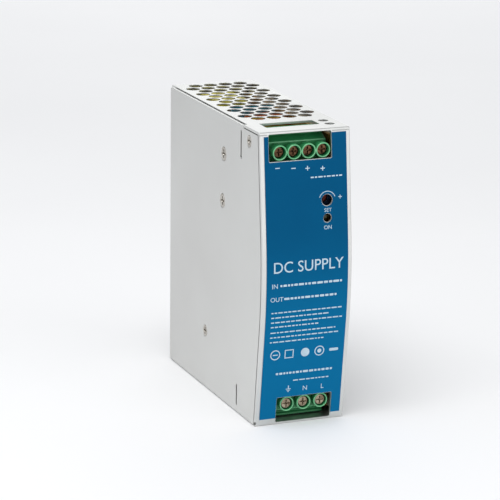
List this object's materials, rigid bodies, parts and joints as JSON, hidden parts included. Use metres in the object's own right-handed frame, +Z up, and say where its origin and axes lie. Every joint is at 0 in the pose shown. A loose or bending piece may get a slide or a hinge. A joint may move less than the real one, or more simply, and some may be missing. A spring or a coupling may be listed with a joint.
{
  "type": "din rail power supply",
  "caption": "Slim metal-cased DIN rail power supply with screw terminals top and bottom, vented case, output trimmer and a sprung rail clip.",
  "frame": {"origin": "middle of the rail seat, on the flat pads of the clip plate that the rail's front lips press on", "axes": "+Y out of the back towards the rail, front faces -Y, +Z up along the case's height, +X to the right seen from the front"},
  "size_m": [0.04, 0.1185, 0.1252],
  "materials": {
    "case_metal": "satin",
    "cover_metal": "satin",
    "label_film": "printed satin film",
    "board": "laminate",
    "insulation_film": "matte film",
    "terminal_green": "moulded satin",
    "terminal_screw_steel": "zinc plated",
    "cage_steel": "zinc plated",
    "contact_brass": "tinned brass",
    "trimmer_blue": "moulded",
    "rotor_brass": "turned",
    "lamp_lens": "diffused lens, unlit",
    "ferrite": "sintered, matte",
    "winding_tape": "polyester tape over copper",
    "capacitor_sleeve": "shrink sleeve",
    "output_capacitor_sleeve": "shrink sleeve",
    "copper_winding": "enamelled wire",
    "box_capacitor_yellow": "moulded case",
    "device_black": "moulded epoxy",
    "absorber_blue": "epoxy coat",
    "fuse_ceramic": "ceramic tube with metal caps",
    "heatsink_aluminium": "plain",
    "fastener_steel": "zinc plated",
    "clip_steel": "zinc plated",
    "spring_steel": "spring wire"
  },
  "bodies": {
    "case": {"board_screw_front": "fastener_steel", "board_screw_rear": "fastener_steel", "bridge_rectifier": "device_black", "bulk_capacitor": "capacitor_sleeve", "chassis_shell": "case_metal", "clip_plate": "clip_steel", "clip_rivet_lower": "fastener_steel", "clip_rivet_upper": "fastener_steel", "cover_screw": "fastener_steel", "front_label": "label_film", "input_contact_1": "contact_brass", "input_contact_2": "contact_brass", "input_contact_3": "contact_brass", "input_fuse": "fuse_ceramic", "input_heatsink": "heatsink_aluminium", "input_heatsink_screw": "fastener_steel", "input_terminal_block": "terminal_green", "input_terminal_board": "board", "insulation_sheet": "insulation_film", "latch_spring": "spring_steel", "line_choke": "copper_winding", "line_filter_capacitor": "box_capacitor_yellow", "main_board": "board", "output_capacitor_1": "output_capacitor_sleeve", "output_capacitor_2": "output_capacitor_sleeve", "output_capacitor_3": "output_capacitor_sleeve", "output_contact_1": "contact_brass", "output_contact_2": "contact_brass", "output_contact_3": "contact_brass", "output_contact_4": "contact_brass", "output_heatsink": "heatsink_aluminium", "output_heatsink_screw_lower": "fastener_steel", "output_heatsink_screw_upper": "fastener_steel", "output_inductor": "copper_winding", "output_rectifier": "device_black", "output_terminal_block": "terminal_green", "output_terminal_board": "board", "side_cover": "cover_metal", "status_light": "lamp_lens", "surge_absorber": "absorber_blue", "switching_transistor": "device_black", "transformer_core": "ferrite", "transformer_winding": "winding_tape", "trimmer_body": "trimmer_blue"},
    "output_screw_1": {"output_screw_1": "terminal_screw_steel"},
    "output_cage_1": {"output_cage_1": "cage_steel"},
    "output_screw_2": {"output_screw_2": "terminal_screw_steel"},
    "output_cage_2": {"output_cage_2": "cage_steel"},
    "output_screw_3": {"output_screw_3": "terminal_screw_steel"},
    "output_cage_3": {"output_cage_3": "cage_steel"},
    "output_screw_4": {"output_screw_4": "terminal_screw_steel"},
    "output_cage_4": {"output_cage_4": "cage_steel"},
    "input_screw_1": {"input_screw_1": "terminal_screw_steel"},
    "input_cage_1": {"input_cage_1": "cage_steel"},
    "input_screw_2": {"input_screw_2": "terminal_screw_steel"},
    "input_cage_2": {"input_cage_2": "cage_steel"},
    "input_screw_3": {"input_screw_3": "terminal_screw_steel"},
    "input_cage_3": {"input_cage_3": "cage_steel"},
    "rail_latch": {"clip_latch": "clip_steel"},
    "adjuster": {"trimmer_rotor": "rotor_brass"}
  },
  "joints": [
    {"name": "output_screw_1_turn", "type": "hinge", "parent": "case", "child": "output_screw_1", "pos_m": [-0.01103, -0.1043, 0.0508], "axis": [0, 1, 0], "range_deg": [0, 2160]},
    {"name": "output_cage_1_lift", "type": "slide", "parent": "case", "child": "output_cage_1", "axis": [0, -1, 0], "range_m": [0, 0.003]},
    {"name": "output_screw_2_turn", "type": "hinge", "parent": "case", "child": "output_screw_2", "pos_m": [-0.00468, -0.1043, 0.0508], "axis": [0, 1, 0], "range_deg": [0, 2160]},
    {"name": "output_cage_2_lift", "type": "slide", "parent": "case", "child": "output_cage_2", "axis": [0, -1, 0], "range_m": [0, 0.003]},
    {"name": "output_screw_3_turn", "type": "hinge", "parent": "case", "child": "output_screw_3", "pos_m": [0.00168, -0.1043, 0.0508], "axis": [0, 1, 0], "range_deg": [0, 2160]},
    {"name": "output_cage_3_lift", "type": "slide", "parent": "case", "child": "output_cage_3", "axis": [0, -1, 0], "range_m": [0, 0.003]},
    {"name": "output_screw_4_turn", "type": "hinge", "parent": "case", "child": "output_screw_4", "pos_m": [0.00802, -0.1043, 0.0508], "axis": [0, 1, 0], "range_deg": [0, 2160]},
    {"name": "output_cage_4_lift", "type": "slide", "parent": "case", "child": "output_cage_4", "axis": [0, -1, 0], "range_m": [0, 0.003]},
    {"name": "input_screw_1_turn", "type": "hinge", "parent": "case", "child": "input_screw_1", "pos_m": [-0.00592, -0.1043, -0.0568], "axis": [0, 1, 0], "range_deg": [0, 2160]},
    {"name": "input_cage_1_lift", "type": "slide", "parent": "case", "child": "input_cage_1", "axis": [0, -1, 0], "range_m": [0, 0.003]},
    {"name": "input_screw_2_turn", "type": "hinge", "parent": "case", "child": "input_screw_2", "pos_m": [0.0017, -0.1043, -0.0568], "axis": [0, 1, 0], "range_deg": [0, 2160]},
    {"name": "input_cage_2_lift", "type": "slide", "parent": "case", "child": "input_cage_2", "axis": [0, -1, 0], "range_m": [0, 0.003]},
    {"name": "input_screw_3_turn", "type": "hinge", "parent": "case", "child": "input_screw_3", "pos_m": [0.00932, -0.1043, -0.0568], "axis": [0, 1, 0], "range_deg": [0, 2160]},
    {"name": "input_cage_3_lift", "type": "slide", "parent": "case", "child": "input_cage_3", "axis": [0, -1, 0], "range_m": [0, 0.003]},
    {"name": "latch_pull", "type": "slide", "parent": "case", "child": "rail_latch", "axis": [0, 0, -1], "range_m": [0, 0.005], "stiffness_N_per_m": 1500, "springref_m": -0.004, "deforming": ["latch_spring"]},
    {"name": "adjuster_turn", "type": "hinge", "parent": "case", "child": "adjuster", "pos_m": [0.0092, -0.1034, 0.0302], "axis": [0, 1, 0], "range_deg": [-135, 135]}
  ],
  "couplings": [
    {"joint": "output_screw_1_turn", "follows": "output_cage_1_lift", "rad_per_m": 12566},
    {"joint": "output_screw_2_turn", "follows": "output_cage_2_lift", "rad_per_m": 12566},
    {"joint": "output_screw_3_turn", "follows": "output_cage_3_lift", "rad_per_m": 12566},
    {"joint": "output_screw_4_turn", "follows": "output_cage_4_lift", "rad_per_m": 12566},
    {"joint": "input_screw_1_turn", "follows": "input_cage_1_lift", "rad_per_m": 12566},
    {"joint": "input_screw_2_turn", "follows": "input_cage_2_lift", "rad_per_m": 12566},
    {"joint": "input_screw_3_turn", "follows": "input_cage_3_lift", "rad_per_m": 12566}
  ]
}
